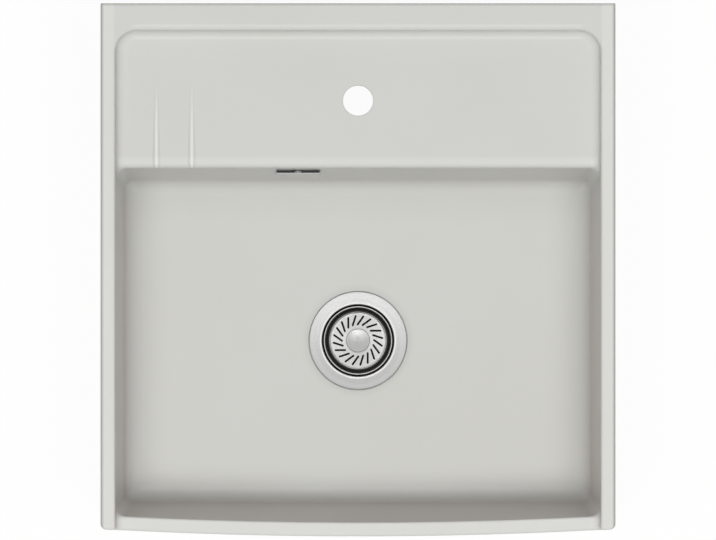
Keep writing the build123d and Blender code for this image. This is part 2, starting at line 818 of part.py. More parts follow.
# ---------------------------------------------------------------------------
# Nuts and seals at the hose's two ends: the same at the head and the housing
# ---------------------------------------------------------------------------
for end_name, end_plane in (("upper", spigot_plane), ("lower", inlet_plane)):
    with BuildPart() as hose_seal:
        with BuildSketch(end_plane):
            Circle(hose_collar_radius)
            Circle(spigot_bore_radius, mode=Mode.SUBTRACT)
        extrude(amount=hose_seal_thickness)
    finish(hose_seal, f"{end_name}_hose_seal")

    shoulder = hose_seal_thickness + hose_collar_length
    with BuildPart() as hose_nut:
        with BuildSketch(end_plane.offset(-nut_thread_length)):
            Circle(nut_radius)
            with PolarLocations(nut_radius, nut_grips):
                Circle(nut_grip_radius)
        extrude(amount=nut_thread_length + shoulder + nut_shoulder)
        with BuildSketch(end_plane.offset(-nut_thread_length)):
            Circle(spigot_radius + nut_clearance)
        extrude(amount=nut_thread_length + shoulder, mode=Mode.SUBTRACT)
        with BuildSketch(end_plane.offset(shoulder)):
            Circle(hose_cuff_radius + nut_clearance)
        extrude(amount=nut_shoulder, mode=Mode.SUBTRACT)
    finish(hose_nut, f"{end_name}_hose_nut")

# ---------------------------------------------------------------------------
# Ribbed hose: forward under the bowl from the head's spigot to the inlet
# ---------------------------------------------------------------------------
hose_plane = Plane((0, 0, 0), x_dir=inlet_direction, z_dir=inlet_direction.cross(Vector(0, 0, 1)))
hose_start = (inlet_end + hose_seal_thickness, inlet_z)
hose_turn_start = (hose_run - hose_bend_radius, inlet_z)
hose_turn_end = (hose_run, inlet_z + hose_bend_radius)
hose_end = (hose_run, spigot_z - hose_seal_thickness)

with BuildLine(hose_plane) as hose_path:
    Line(hose_start, hose_turn_start)
    TangentArc(hose_turn_start, hose_turn_end, tangent=(1, 0))
    Line(hose_turn_end, hose_end)
hose_wire = hose_path.wires()[0]
hose_length = hose_wire.length
ribbed_length = hose_length - 2 * hose_cuff_length
hose_ribs = int(ribbed_length / hose_rib_pitch)
rib_pitch = ribbed_length / hose_ribs

hose_sections = [(hose_cuff_length - rib_pitch, hose_cuff_radius)]
rib_radii = (hose_valley_radius, hose_crest_radius, hose_crest_radius, hose_valley_radius)
for rib in range(hose_ribs):
    for share, radius in zip(hose_rib_shares, rib_radii):
        hose_sections.append((hose_cuff_length + (rib + share) * rib_pitch, radius))


def hose_frame(distance):
    """Plane square to the hose at this distance along it."""
    share = distance / hose_length
    return Plane(hose_wire.position_at(share), x_dir=hose_plane.z_dir, z_dir=hose_wire.tangent_at(share))


with BuildPart() as overflow_hose:
    for distance, radius in hose_sections:
        with BuildSketch(hose_frame(distance)):
            Circle(radius)
    with BuildSketch(hose_frame(hose_length - hose_cuff_length)):
        Circle(hose_cuff_radius)
    loft(ruled=True)
    for distance, length, radius in (
        (0, hose_collar_length, hose_collar_radius),
        (0, hose_cuff_length - rib_pitch, hose_cuff_radius),
        (hose_length, -hose_collar_length, hose_collar_radius),
        (hose_length, -hose_cuff_length, hose_cuff_radius),
    ):
        with BuildSketch(hose_frame(distance)):
            Circle(radius)
        extrude(amount=length)
    with BuildSketch(hose_frame(0)):
        Circle(hose_bore_radius)
    sweep(path=hose_wire, mode=Mode.SUBTRACT)
finish(overflow_hose, "overflow_hose")
print("hose length", round(hose_length, 1), "ribs", hose_ribs)
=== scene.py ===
"""Kitchen sink with a drainer ledge: finishes, ribbed hose, moulded housing, threads and studio."""

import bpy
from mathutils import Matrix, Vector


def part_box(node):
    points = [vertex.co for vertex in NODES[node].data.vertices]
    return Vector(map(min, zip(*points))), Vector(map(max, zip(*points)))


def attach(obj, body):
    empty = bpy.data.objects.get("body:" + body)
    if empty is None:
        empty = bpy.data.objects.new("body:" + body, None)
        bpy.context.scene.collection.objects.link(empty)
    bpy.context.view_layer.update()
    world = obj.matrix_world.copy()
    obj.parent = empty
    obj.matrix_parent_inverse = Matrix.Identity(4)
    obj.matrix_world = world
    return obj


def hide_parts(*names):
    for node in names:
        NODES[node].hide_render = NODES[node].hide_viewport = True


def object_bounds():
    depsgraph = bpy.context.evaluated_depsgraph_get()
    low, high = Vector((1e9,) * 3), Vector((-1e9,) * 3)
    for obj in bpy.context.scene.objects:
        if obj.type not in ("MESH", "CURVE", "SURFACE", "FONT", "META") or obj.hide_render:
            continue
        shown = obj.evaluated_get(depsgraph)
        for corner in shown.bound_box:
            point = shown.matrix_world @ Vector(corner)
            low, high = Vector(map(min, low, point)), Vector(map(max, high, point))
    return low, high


bl_info = {
    "name": "Kitchen sink",
    "version": (1, 0, 0),
    "blender": (4, 5, 0),
    "location": "View3D > Sidebar > Sink",
    "description": "Ceramic kitchen sink with its basket waste and overflow",
    "category": "Object",
}

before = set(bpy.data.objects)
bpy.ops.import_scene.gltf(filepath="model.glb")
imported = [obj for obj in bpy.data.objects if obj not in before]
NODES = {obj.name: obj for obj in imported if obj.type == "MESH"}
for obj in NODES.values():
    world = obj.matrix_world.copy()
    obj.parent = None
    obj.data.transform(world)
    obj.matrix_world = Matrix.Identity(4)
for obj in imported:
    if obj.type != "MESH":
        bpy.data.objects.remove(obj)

import math

import bmesh
import bpy
from bpy.props import FloatProperty, FloatVectorProperty, IntProperty, PointerProperty
from mathutils import Matrix, Vector

CAD_BOX = [list(corner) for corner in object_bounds()]
MM = 0.001

# Places on the ceramic body
RIBS_X = (-233.2 * MM, -192.3 * MM)
RIBS_Y = (235.0 * MM, 312.0 * MM)
LEDGE_FRONT_Y = 200.6 * MM
LIP_Y = 208.6 * MM
RECESS_EDGE_Y = 364.9 * MM
RECESS_FOOT_Y = 351.3 * MM
WALLS_LOW_Z = 20.0 * MM

# Masks on the ceramic: where each is full and where it has faded out
RIB_CREST = (0.8 * MM, 2.4 * MM)
SIDE_RIM = (14.5 * MM, 17.0 * MM)
FRONT_RIM = (19.0 * MM, 22.0 * MM)
LIP_WIDTH = (1.0 * MM, 7.0 * MM)
RECESS_LINE = (0.5 * MM, 3.0 * MM)
RECESS_CORNER = (45.0 * MM, 30.0 * MM)
OUTER_EDGE = (0.8 * MM, 4.0 * MM)
SIDE_WALL_Y = (150.0 * MM, 190.0 * MM)
# Painted shadow round the waste
WASTE_SHADOW = (57.0 * MM, 68.0 * MM)
PLATE_SHADE = 1.5 * MM
PLATE_REACH = 3.0 * MM

# Tones of the glaze: painted highlight, painted shade on the outer edge and round the waste, warm
# painted shade on the walls, and painted shadow behind the overflow plate
HIGHLIGHT_GLAZE = (0.95, 0.95, 0.92)
SHADED_GLAZE = (0.10, 0.10, 0.095)
WARM_SHADE_GLAZE = (0.55, 0.40, 0.38)
SHADOW_GLAZE = (0.03, 0.03, 0.028)

# Overflow plate: middle of its front, its lean, and its lip's width, thickness and rounding
PLATE_MIDDLE = Vector((-69.5, 198.14, 170.0)) * MM
WALL_LEAN = math.radians(4.67)
PLATE_WIDTH = 49.8 * MM
PLATE_THICKNESS = 1.2 * MM
PLATE_EDGE = 0.2 * MM

# Radii and heights in the waste's cup and on its basket, for the rings of painted highlight and the
# painted shade
FLANGE_HIGHLIGHT = (43.0 * MM, 44.5 * MM)
BASKET_HIGHLIGHT = (31.9 * MM, 33.5 * MM)
HIGHLIGHT_FADE = 0.3 * MM
HIGHLIGHT_STEEL = (0.84, 0.84, 0.83)
CUP_LIP_Z = (25.6 * MM, 26.7 * MM)
CHANNEL_RADIUS = 33.6 * MM
CHANNEL_SHADE = (33.7 * MM, 36.5 * MM)
BEAD_Z = (21.6 * MM, 22.6 * MM)
SLOTS_RADIUS = 31.0 * MM
SIEVE_TOP_Z = (11.80 * MM, 11.95 * MM)
RIM_EDGE = (39.95 * MM, 40.3 * MM)

# Housing under the bowl
HOUSING_RADIUS = 50.5 * MM
HOUSING_BORE = 47.5 * MM
HOUSING_FLANGE = 57.0 * MM
FLANGE_LOW_Z = 5.0 * MM
GUSSET_LOW_Z = -4.0 * MM
RING_RADIUS = 51.3 * MM
RING_Z = -12.5 * MM
CONE_TOP_Z = -35.5 * MM
CONE_LOW_Z = -50.0 * MM
CHAMBER_LOW_Z = -34.0 * MM
THREAD_TOP_Z = -52.6 * MM
OUTLET_RADIUS = 23.9 * MM
OUTLET_BORE = 20.5 * MM
BOSS_RADIUS = 10.05 * MM
BOSS_BORE = 8.05 * MM
BOSS_TOP_Z = -32.5 * MM
BOSS_LOW_Z = -48.5 * MM
INLET_BORE = 9.5 * MM
INLET_RADIUS = 14.0 * MM
INLET_START = 48.6 * MM
EASED = 0.3 * MM

HOSE_LENGTHS = ("Rib Pitch", "Valley Radius", "Crest Radius", "Cuff Radius", "Cuff Length",
                "Collar Radius", "Collar Length")
BEND_STEPS = 60
CROWN_STEPS = 8
KNOB_SIDES = 96
FLOOR_HALF_WIDTH = 80.0


# ---- Sizes and colours that a user would change
def colour(name, description, default):
    """A colour property."""
    return FloatVectorProperty(name=name, description=description, subtype="COLOR", size=3,
                               min=0.0, max=1.0, default=default)


def length(name, description, default):
    """A length property, in metres."""
    return FloatProperty(name=name, description=description, subtype="DISTANCE", unit="LENGTH",
                         min=0.0, default=default, precision=5)


def share(name, description, default):
    """A property from 0 to 1."""
    return FloatProperty(name=name, description=description, subtype="FACTOR", min=0.0, max=1.0,
                         default=default)


def angle(name, description, degrees):
    """An angle property."""
    return FloatProperty(name=name, description=description, subtype="ANGLE", unit="ROTATION",
                         default=math.radians(degrees))


def power(name, description, watts):
    """A lamp's power."""
    return FloatProperty(name=name, description=description, unit="POWER", min=0.0, default=watts)


class CeramicFinish(bpy.types.PropertyGroup):
    """Glaze and biscuit of the ceramic."""

    glaze: colour("Glaze", "Colour of the glaze", (0.600, 0.605, 0.580))
    glaze_shade: colour("Glaze shade", "Colour of the glaze where it is a little thinner",
                        (0.585, 0.588, 0.562))
    biscuit: colour("Biscuit", "Colour of the unglazed underside", (0.60, 0.55, 0.47))
    roughness: share("Roughness", "Roughness of the satin glaze", 0.34)
    peel: length("Peel", "Width of the ripples in the glaze", 0.006)
    peel_height: length("Peel height", "Height of the ripples in the glaze", 0.00001)
    # Painted highlight along the ribs' crests.
    rib_highlight: share("Rib highlight", "How far the glaze on the ribs' crests is lighter", 0.34)
    # Painted highlight on the rims, the bowl's lip and the recess's lines.
    rim_highlight: share("Rim highlight", "How far the glaze on the rims is lighter", 0.14)
    # Painted shade on the rolled outer edge.
    edge_shade: share("Edge shade", "How far the glaze is darker on the rolled outer edge", 0.45)
    # Painted shadow round the waste's flange.
    waste_shadow: share("Waste shadow", "How far the glaze is darker round the waste", 0.12)
    # Painted shade, darker and warmer, on the bowl's steep walls.
    wall_shade: share("Wall shade", "How far the glaze on the bowl's steep walls is warmer", 0.22)
    # Painted shadow on the wall behind the overflow plate.
    plate_shadow: share("Plate shadow", "How far the glaze behind the overflow plate is darker", 0.3)


class SteelFinish(bpy.types.PropertyGroup):
    """Brushed stainless steel."""

    steel: colour("Steel", "Colour of the steel", (0.56, 0.56, 0.555))
    # Painted shade in the waste's cup and in the basket's channel, slots and rim's outer edge.
    shade_tone: colour("Painted shade", "Colour of the steel where water stands and no brush reaches",
                  (0.022, 0.021, 0.019))
    sheared: colour("Sheared edges", "Colour of the overflow plate's edges and back",
                    (0.50, 0.50, 0.495))
    roughness: share("Roughness", "Roughness across the brush marks", 0.30)
    brush_pitch: length("Brush pitch", "Width of a brush mark", 0.0004)
    anisotropy: share("Anisotropy", "How far the brush marks stretch a highlight", 0.35)
    flange_fall: angle("Flange fall", "Slope of the waste's flange towards its rim", 3.0)


class PlasticFinish(bpy.types.PropertyGroup):
    """Plastic, rubber and brass of the fittings."""

    housing: colour("Housing", "Colour of the moulded fittings", (0.028, 0.029, 0.031))
    hose: colour("Hose", "Colour of the hose", (0.36, 0.37, 0.375))
    rubber: colour("Rubber", "Colour of the seals", (0.018, 0.018, 0.018))
    brass: colour("Brass", "Colour of the threaded inserts", (0.72, 0.53, 0.26))


class KnobSizes(bpy.types.PropertyGroup):
    """Knob in the middle of the basket."""

    crown: length("Crown", "Rise of the top from its edge to its middle", 0.0010)
    edge: length("Edge", "Width of the rounded edge", 0.0009)
    neck: length("Neck", "Radius of the neck under the knob", 0.0095)
    undercut: length("Undercut", "Height of the neck", 0.0025)
    roughness: share("Roughness", "Roughness of the knob", 0.32)
    shine: share("Shine", "Brightness of the knob's steel", 0.88)


class HousingSizes(bpy.types.PropertyGroup):
    """Housing under the bowl."""

    thread_pitch: length("Thread pitch", "Distance from one turn to the next", 0.00231)
    thread_depth: length("Thread depth", "Depth of the outlet's thread", 0.00115)
    gussets: IntProperty(name="Gussets", description="Gussets under the housing's flange",
                         default=12, min=3)
    gusset_thickness: length("Gusset thickness", "Thickness of a gusset", 0.002)
    web_thickness: length("Web thickness", "Thickness of the webs that hold the boss", 0.003)
    edge: length("Edge", "Width of the rounded edges of gussets and webs", 0.0004)


class HoseSizes(bpy.types.PropertyGroup):
    """Ribbed hose between the overflow and the waste."""

    rib_pitch: length("Rib pitch", "Distance from one rib to the next", 0.005)
    valley_radius: length("Valley radius", "Radius between two ribs", 0.0099)
    crest_radius: length("Crest radius", "Radius on a rib", 0.0116)
    cuff_radius: length("Cuff radius", "Radius of the plain ends", 0.0110)
    cuff_length: length("Cuff length", "Length of a plain end", 0.022)
    collar_radius: length("Collar radius", "Radius of the collars that the nuts hold", 0.0125)
    collar_length: length("Collar length", "Thickness of those collars", 0.003)
    wall: length("Wall", "Thickness of the hose's wall", 0.0009)
    bend_radius: length("Bend radius", "Radius of the bend under the sink", 0.048)
    steps_per_rib: IntProperty(name="Steps per rib", description="Rings of faces for one rib",
                               default=10, min=4)
    sides: IntProperty(name="Sides", description="Faces round the hose", default=48, min=8)


class Studio(bpy.types.PropertyGroup):
    """Floor, lights and camera."""

    camera_height: length("Camera height", "Height of the camera above the rim", 12.0)
    view_width: length("View width", "Width that the picture takes in at the rim", 0.827)
    floor: colour("Floor", "Colour of the floor", (0.90, 0.90, 0.90))
    floor_whiteness: share("Floor whiteness", "Part of the floor that is always white", 0.95)
    floor_glow: share("Floor glow", "Part of the floor that lights the sink from below", 0.40)
    sky: FloatProperty(name="Sky", description="Strength of the light from all round",
                       default=0.27, min=0.0)
    sky_tint: colour("Sky tint", "Colour of the light from all round", (1.0, 0.965, 0.955))
    lamp_power: power("Lamp power", "Power of each of the two overhead lamps", 91.5)
    lamp_distance: length("Lamp distance", "Distance of the lamps from the sink", 5.0)
    lamp_size: length("Lamp size", "Width of a lamp", 1.2)
    gleam_power: power("Gleam power", "Power of the lamp whose reflection steel shows", 18.0)
    gleam_lean: angle("Gleam lean", "Angle of that lamp to the rear of the upright", 16.0)
    lamp_spread: angle("Lamp spread", "Angle of each lamp to its side of the upright", 11.5)
    lamp_lean: angle("Lamp lean", "Angle of the lamps to the front of the upright", 13.5)


# ---- Node helpers
def put(tree, kind, inputs=None, **settings):
    """Outputs of a new node with these settings, its inputs linked or set."""
    made = tree.nodes.new(kind)
    for name, value in settings.items():
        setattr(made, name, value)
    for key, value in (inputs or {}).items():
        if isinstance(value, bpy.types.NodeSocket):
            tree.links.new(value, made.inputs[key])
        else:
            made.inputs[key].default_value = value
    return made.outputs


def calc(tree, operation, *values):
    """Result of a Math node on these values."""
    return put(tree, "ShaderNodeMath", dict(enumerate(values)), operation=operation)[0]


def chain(tree, operation, first, *others):
    """Result of one Math operation on all these values in turn."""
    for value in others:
        first = calc(tree, operation, first, value)
    return first


def times(tree, *values):
    """Product of these values."""
    return chain(tree, "MULTIPLY", *values)


def how_far(tree, value, place):
    """Distance of a value from a place."""
    return calc(tree, "ABSOLUTE", calc(tree, "SUBTRACT", value, place))


def noise(tree, vector, scale, detail=2.0, roughness=0.5):
    """Factor of a Noise Texture; scale is features in a metre."""
    inputs = {"Vector": vector, "Scale": scale, "Detail": detail, "Roughness": roughness}
    return put(tree, "ShaderNodeTexNoise", inputs)["Fac"]


def remap(tree, value, low, high, to_low=0.0, to_high=1.0, smooth=False):
    """Value from low..high to to_low..to_high, held at the ends."""
    inputs = {"Value": value, "From Min": low, "From Max": high, "To Min": to_low,
              "To Max": to_high}
    return put(tree, "ShaderNodeMapRange", inputs,
               interpolation_type="SMOOTHSTEP" if smooth else "LINEAR")["Result"]


def fade(tree, value, full, none, strength=1.0, smooth=False):
    """Strength up to full, falling to 0 at none, which is higher."""
    return remap(tree, value, full, none, strength, 0.0, smooth)


def blend_colour(tree, factor, first, second):
    """Mix of two colours."""
    first, second = (tone if isinstance(tone, bpy.types.NodeSocket) else (*tone, 1.0)
                     for tone in (first, second))
    inputs = {"Factor": factor, 6: first, 7: second}
    return put(tree, "ShaderNodeMix", inputs, data_type="RGBA")[2]


def split(tree, vector):
    """The X, Y and Z of a vector."""
    return put(tree, "ShaderNodeSeparateXYZ", {"Vector": vector})


def from_axis(tree, part):
    """Distance from the Z axis."""
    squares = [calc(tree, "MULTIPLY", part[letter], part[letter]) for letter in "XY"]
    return calc(tree, "SQRT", calc(tree, "ADD", *squares))


def facing(tree, letter, kind="True Normal"):
    """How far a face looks along X, Y or Z: 1 along it, 0 across it and -1 against it."""
    return split(tree, put(tree, "ShaderNodeNewGeometry")[kind])[letter]


def upward(tree):
    """How far the shaded surface looks up."""
    return facing(tree, "Z", "Normal")


def new_material(name, **settings):
    """A material with only its Principled shader: (material, tree, shader, object coordinates)."""
    material = bpy.data.materials.new(name)
    material.use_nodes = True
    tree = material.node_tree
    shader = tree.nodes["Principled BSDF"]
    for key, value in settings.items():
        shader.inputs[key].default_value = value
    coordinates = put(tree, "ShaderNodeTexCoord")["Object"]
    return material, tree, shader, coordinates


def finish_shader(tree, shader, tone, rough, height, distance):
    """Link colour, roughness and a bump of this height, times distance in metres, to the shader."""
    bump = put(tree, "ShaderNodeBump", {"Height": height, "Distance": distance, "Strength": 1.0})
    tree.links.new(tone, shader.inputs["Base Color"])
    tree.links.new(rough, shader.inputs["Roughness"])
    tree.links.new(bump["Normal"], shader.inputs["Normal"])


def scaled(tone, factor):
    """A colour made lighter or darker."""
    return tuple(factor * part for part in tone)


def dress(material, *pieces):
    """Give each piece, or node of this name, one material."""
    for piece in pieces:
        materials = NODES.get(piece, piece).data.materials
        materials.clear()
        materials.append(material)


# ---- Ceramic: masks, 0 but where they say, and the glaze
def on_rib_crests(tree, where):
    """1 along the crests of the two ribs, where a highlight is painted."""
    part = split(tree, where)
    off_ribs = [how_far(tree, part["X"], rib_x) for rib_x in RIBS_X]
    across = fade(tree, calc(tree, "MINIMUM", *off_ribs), *RIB_CREST, smooth=True)
    along = fade(tree, part["Y"], *RIBS_Y, smooth=True)
    on_ledge = calc(tree, "GREATER_THAN", part["Y"], LEDGE_FRONT_Y)
    looks_up = calc(tree, "GREATER_THAN", upward(tree), 0.5)
    return times(tree, across, along, on_ledge, looks_up)


def on_rims(tree, where):
    """1 on the side and front rims, the bowl's lip and the recess's rear edge and foot, where
    highlights are painted.
    """
    part = split(tree, where)
    low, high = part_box("sink_body")
    side = high[0]
    from_middle = calc(tree, "ABSOLUTE", part["X"])
    at_side = remap(tree, from_middle, side - SIDE_RIM[1], side - SIDE_RIM[0])
    at_front = fade(tree, part["Y"], low[1] + FRONT_RIM[0], low[1] + FRONT_RIM[1])
    on_lip = fade(tree, how_far(tree, part["Y"], LIP_Y), *LIP_WIDTH, strength=0.9, smooth=True)
    at_middle = fade(tree, from_middle, side - RECESS_CORNER[0], side - RECESS_CORNER[1],
                     smooth=True)
    pale = [at_side, at_front, on_lip]
    for line_y in (RECESS_EDGE_Y, RECESS_FOOT_Y):
        line = fade(tree, how_far(tree, part["Y"], line_y), *RECESS_LINE, smooth=True)
        pale.append(times(tree, line, at_middle))
    looks_up = remap(tree, upward(tree), 0.3, 0.85, smooth=True)
    return times(tree, chain(tree, "MAXIMUM", *pale), looks_up)


def on_outer_edge(tree, where):
    """1 on the rounded outer edge of the side rims, where shade is painted."""
    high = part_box("sink_body")[1]
    from_middle = calc(tree, "ABSOLUTE", split(tree, where)["X"])
    near = fade(tree, calc(tree, "SUBTRACT", high[0], from_middle), *OUTER_EDGE)
    return times(tree, near, remap(tree, upward(tree), 0.05, 0.35))


def on_bowl_walls(tree, where):
    """1 on the side and front walls inside the bowl, where a warm shade is painted."""
    part = split(tree, where)
    normal = put(tree, "ShaderNodeNewGeometry")["Normal"]
    outward = put(tree, "ShaderNodeVectorMath", {0: normal, 1: where},
                  operation="DOT_PRODUCT")["Value"]
    looks_inward = calc(tree, "LESS_THAN", outward, 0.0)
    upright = fade(tree, upward(tree), 0.3, 0.8, smooth=True)
    before_rear = fade(tree, part["Y"], *SIDE_WALL_Y)
    above_foot = calc(tree, "GREATER_THAN", part["Z"], WALLS_LOW_Z)
    return times(tree, upright, before_rear, looks_inward, above_foot)


def behind_the_plate(tree, where):
    """1 on the wall that the overflow's plate covers, where a shadow is painted."""
    part = split(tree, where)
    low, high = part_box("overflow_cover")
    inside = times(tree, calc(tree, "GREATER_THAN", part["Y"], low[1]),
                   calc(tree, "LESS_THAN", part["Y"], high[1] + PLATE_REACH))
    for axis, letter in ((0, "X"), (2, "Z")):
        half = (high[axis] - low[axis]) / 2
        off = how_far(tree, part[letter], (low[axis] + high[axis]) / 2)
        inside = times(tree, inside, fade(tree, off, half - PLATE_SHADE, half))
    return inside


def round_the_waste(tree, where):
    """1 at the rim of the waste's flange, fading to 0 round it, where a shadow is painted."""
    return fade(tree, from_axis(tree, split(tree, where)), *WASTE_SHADOW, smooth=True)


def glazed_ceramic(finish):
    """Satin glaze over all but the faces that look down, which are bare biscuit."""
    material, tree, shader, where = new_material("satin_glaze", IOR=1.5)
    clouds = noise(tree, where, 5.0, 3.0)
    grain = noise(tree, where, 420.0, 2.0)
    peel = noise(tree, where, 1.0 / finish.peel, 1.0)
    pores = noise(tree, where, 1500.0, 3.0, 0.7)
    ragged = calc(tree, "MULTIPLY_ADD", noise(tree, where, 90.0, 4.0), 0.35, facing(tree, "Z"))
    bare = fade(tree, ragged, -0.62, -0.55)

    thinner = remap(tree, clouds, 0.3, 0.7)
    glaze = blend_colour(tree, thinner, finish.glaze, finish.glaze_shade)
    dots = remap(tree, grain, 0.62, 0.78, 0.0, 0.25)
    glaze = blend_colour(tree, dots, glaze, scaled(finish.glaze_shade, 0.93))
    # Painted highlight along the rib crests.
    crests = times(tree, on_rib_crests(tree, where), finish.rib_highlight)
    # Painted highlight on the rims, lip and recess lines, with the crests' highlight, in the pale
    # glaze colour.
    painted_highlight = calc(tree, "MULTIPLY_ADD", on_rims(tree, where), finish.rim_highlight, crests)
    glaze = blend_colour(tree, painted_highlight, glaze, HIGHLIGHT_GLAZE)
    # Painted shade on the outer edge, painted shadow round the waste, warm painted shade on the
    # walls and painted shadow behind the plate.
    for mask, strength, tone in ((on_outer_edge, finish.edge_shade, SHADED_GLAZE),
                                 (round_the_waste, finish.waste_shadow, SHADED_GLAZE),
                                 (on_bowl_walls, finish.wall_shade, WARM_SHADE_GLAZE),
                                 (behind_the_plate, finish.plate_shadow, SHADOW_GLAZE)):
        glaze = blend_colour(tree, times(tree, mask(tree, where), strength), glaze, tone)
    biscuit = blend_colour(tree, pores, finish.biscuit, scaled(finish.biscuit, 0.8))
    tone = blend_colour(tree, bare, glaze, biscuit)

    satin = remap(tree, clouds, 0.3, 0.7, finish.roughness - 0.02, finish.roughness + 0.03)
    glazed = calc(tree, "SUBTRACT", 1.0, bare)
    rough = calc(tree, "MULTIPLY_ADD", satin, glazed, times(tree, bare, 0.85))
    height = calc(tree, "MULTIPLY_ADD", times(tree, pores, bare), 4.0, times(tree, peel, glazed))
    finish_shader(tree, shader, tone, rough, height, finish.peel_height)
    return material


# ---- Steel, plastic and brass
def turned_steel(finish, name, roughness, shine=1.0, shade_mask=None, fall=0.0, highlight_ring=None):
    """Steel with brush marks round the Z axis.

    The shade mask, called as (tree, radius, height), is 1 where shade is painted, and the highlight
    ring gives the radii of a bright ring of painted highlight.
    """
    material, tree, shader, where = new_material(name, Metallic=1.0, Anisotropic=finish.anisotropy)
    part = split(tree, where)
    radius = from_axis(tree, part)
    turn = calc(tree, "ARCTAN2", part["Y"], part["X"])
    pitch = 1.0 / finish.brush_pitch
    marks_at = put(tree, "ShaderNodeCombineXYZ", {
        "X": times(tree, radius, pitch), "Y": times(tree, turn, 1.6),
        "Z": times(tree, part["Z"], pitch)})[0]
    marks = noise(tree, marks_at, 1.0, 3.0, 0.6)
    broad = noise(tree, marks_at, 0.12, 2.0)
    steel = scaled(finish.steel, shine)
    dull = scaled(steel, 0.9)
    tone = blend_colour(tree, remap(tree, broad, 0.3, 0.7), steel, dull)
    tone = blend_colour(tree, remap(tree, marks, 0.35, 0.75, 0.0, 0.5), tone, dull)
    rough = remap(tree, marks, 0.3, 0.7, roughness - 0.05, roughness + 0.06)
    # Painted highlight: a pale, mostly non-metallic ring on the flange's rolled lip or the sieve's
    # edge.
    if highlight_ring:
        inner, outer = highlight_ring
        ring = times(tree, remap(tree, radius, inner - HIGHLIGHT_FADE, inner),
                     fade(tree, radius, outer, outer + HIGHLIGHT_FADE))
        tone = blend_colour(tree, ring, tone, HIGHLIGHT_STEEL)
        metallic = calc(tree, "MULTIPLY_ADD", ring, -0.8, 1.0)
        tree.links.new(metallic, shader.inputs["Metallic"])
    # Painted shade: darker and rougher where the mask is 1.
    if shade_mask:
        shade_tone = shade_mask(tree, radius, part["Z"])
        tone = blend_colour(tree, shade_tone, tone, finish.shade_tone)
        rough = calc(tree, "MULTIPLY_ADD", shade_tone, 0.3, rough)
    tangent = put(tree, "ShaderNodeTangent", direction_type="RADIAL", axis="Z")[0]
    tree.links.new(tangent, shader.inputs["Tangent"])
    slope = times(tree, radius, -math.tan(fall))
    height = calc(tree, "MULTIPLY_ADD", marks, 0.003 * MM, slope)
    finish_shader(tree, shader, tone, rough, height, 1.0)
    return material


def in_the_cup(tree, radius, height):
    """1 in the waste's cup, below the flange's lip, where shade is painted."""
    return fade(tree, height, *CUP_LIP_Z)


def in_the_channel(tree, radius, height):
    """1 inside the basket between sieve and rim, on the rim's outer edge, and in the slots, where
    shade is painted.
    """
    channel = times(tree, remap(tree, radius, *CHANNEL_SHADE, 0.88, 1.0),
                    calc(tree, "GREATER_THAN", radius, CHANNEL_RADIUS),
                    fade(tree, height, *BEAD_Z), remap(tree, upward(tree), -0.05, 0.1))
    in_slot = times(tree, fade(tree, height, *SIEVE_TOP_Z, strength=0.9),
                    calc(tree, "LESS_THAN", radius, SLOTS_RADIUS))
    past_rim = remap(tree, radius, *RIM_EDGE, 0.0, 0.95)
    return chain(tree, "MAXIMUM", channel, in_slot, past_rim)


def drawn_steel(finish, name, roughness):
    """Steel with brush marks along X on the face towards the bowl, and dull edges and back."""
    material, tree, shader, where = new_material(name, Metallic=1.0)
    pitch = 1.0 / finish.brush_pitch
    marks_at = put(tree, "ShaderNodeMapping", {"Vector": where, "Scale": (30.0, pitch, pitch)})[0]
    marks = noise(tree, marks_at, 1.0, 3.0, 0.6)
    front = fade(tree, facing(tree, "Y"), -0.8, -0.4)
    edges = calc(tree, "SUBTRACT", 1.0, front)
    tone = blend_colour(tree, marks, finish.steel, scaled(finish.steel, 0.86))
    tone = blend_colour(tree, edges, tone, finish.sheared)
    rough = remap(tree, marks, 0.3, 0.7, roughness - 0.05, roughness + 0.06)
    rough = calc(tree, "MULTIPLY_ADD", edges, 0.2, rough)
    finish_shader(tree, shader, tone, rough, marks, 0.004 * MM)
    return material


def moulded_plastic(name, tint, roughness, grain_width, grain_height):
    """Plastic with the fine grain of its mould."""
    material, tree, shader, where = new_material(name, IOR=1.49)
    grain = noise(tree, where, 1.0 / grain_width, 3.0)
    clouds = noise(tree, where, 22.0, 2.0)
    worn = tuple(min(1.0, 1.25 * part + 0.004) for part in tint)
    tone = blend_colour(tree, remap(tree, clouds, 0.35, 0.75), tint, worn)
    rough = remap(tree, grain, 0.3, 0.7, roughness - 0.06, roughness + 0.06)
    finish_shader(tree, shader, tone, rough, grain, grain_height)
    return material


def turned_brass(tint):
    """Brass with the faint rings of a lathe."""
    material, tree, shader, where = new_material("turned_brass", Metallic=1.0)
    rings = noise(tree, where, 1800.0, 2.0)
    tarnish = noise(tree, where, 160.0, 3.0)
    tone = blend_colour(tree, remap(tree, tarnish, 0.35, 0.8), tint, scaled(tint, 0.7))
    rough = remap(tree, tarnish, 0.3, 0.7, 0.24, 0.42)
    finish_shader(tree, shader, tone, rough, rings, 0.006 * MM)
    return material


# ---- Mesh and Geometry Nodes helpers
def add_object(name, data):
    """New object in the scene."""
    made = bpy.data.objects.new(name, data)
    bpy.context.scene.collection.objects.link(made)
    return made


def evaluated_mesh(piece):
    """Plain mesh of a piece with its modifiers."""
    bpy.context.view_layer.update()
    depsgraph = bpy.context.evaluated_depsgraph_get()
    return bpy.data.meshes.new_from_object(piece.evaluated_get(depsgraph))


def bake_modifiers(piece):
    """Turn a piece's modifiers into plain mesh."""
    mesh = evaluated_mesh(piece)
    piece.modifiers.clear()
    piece.data = mesh


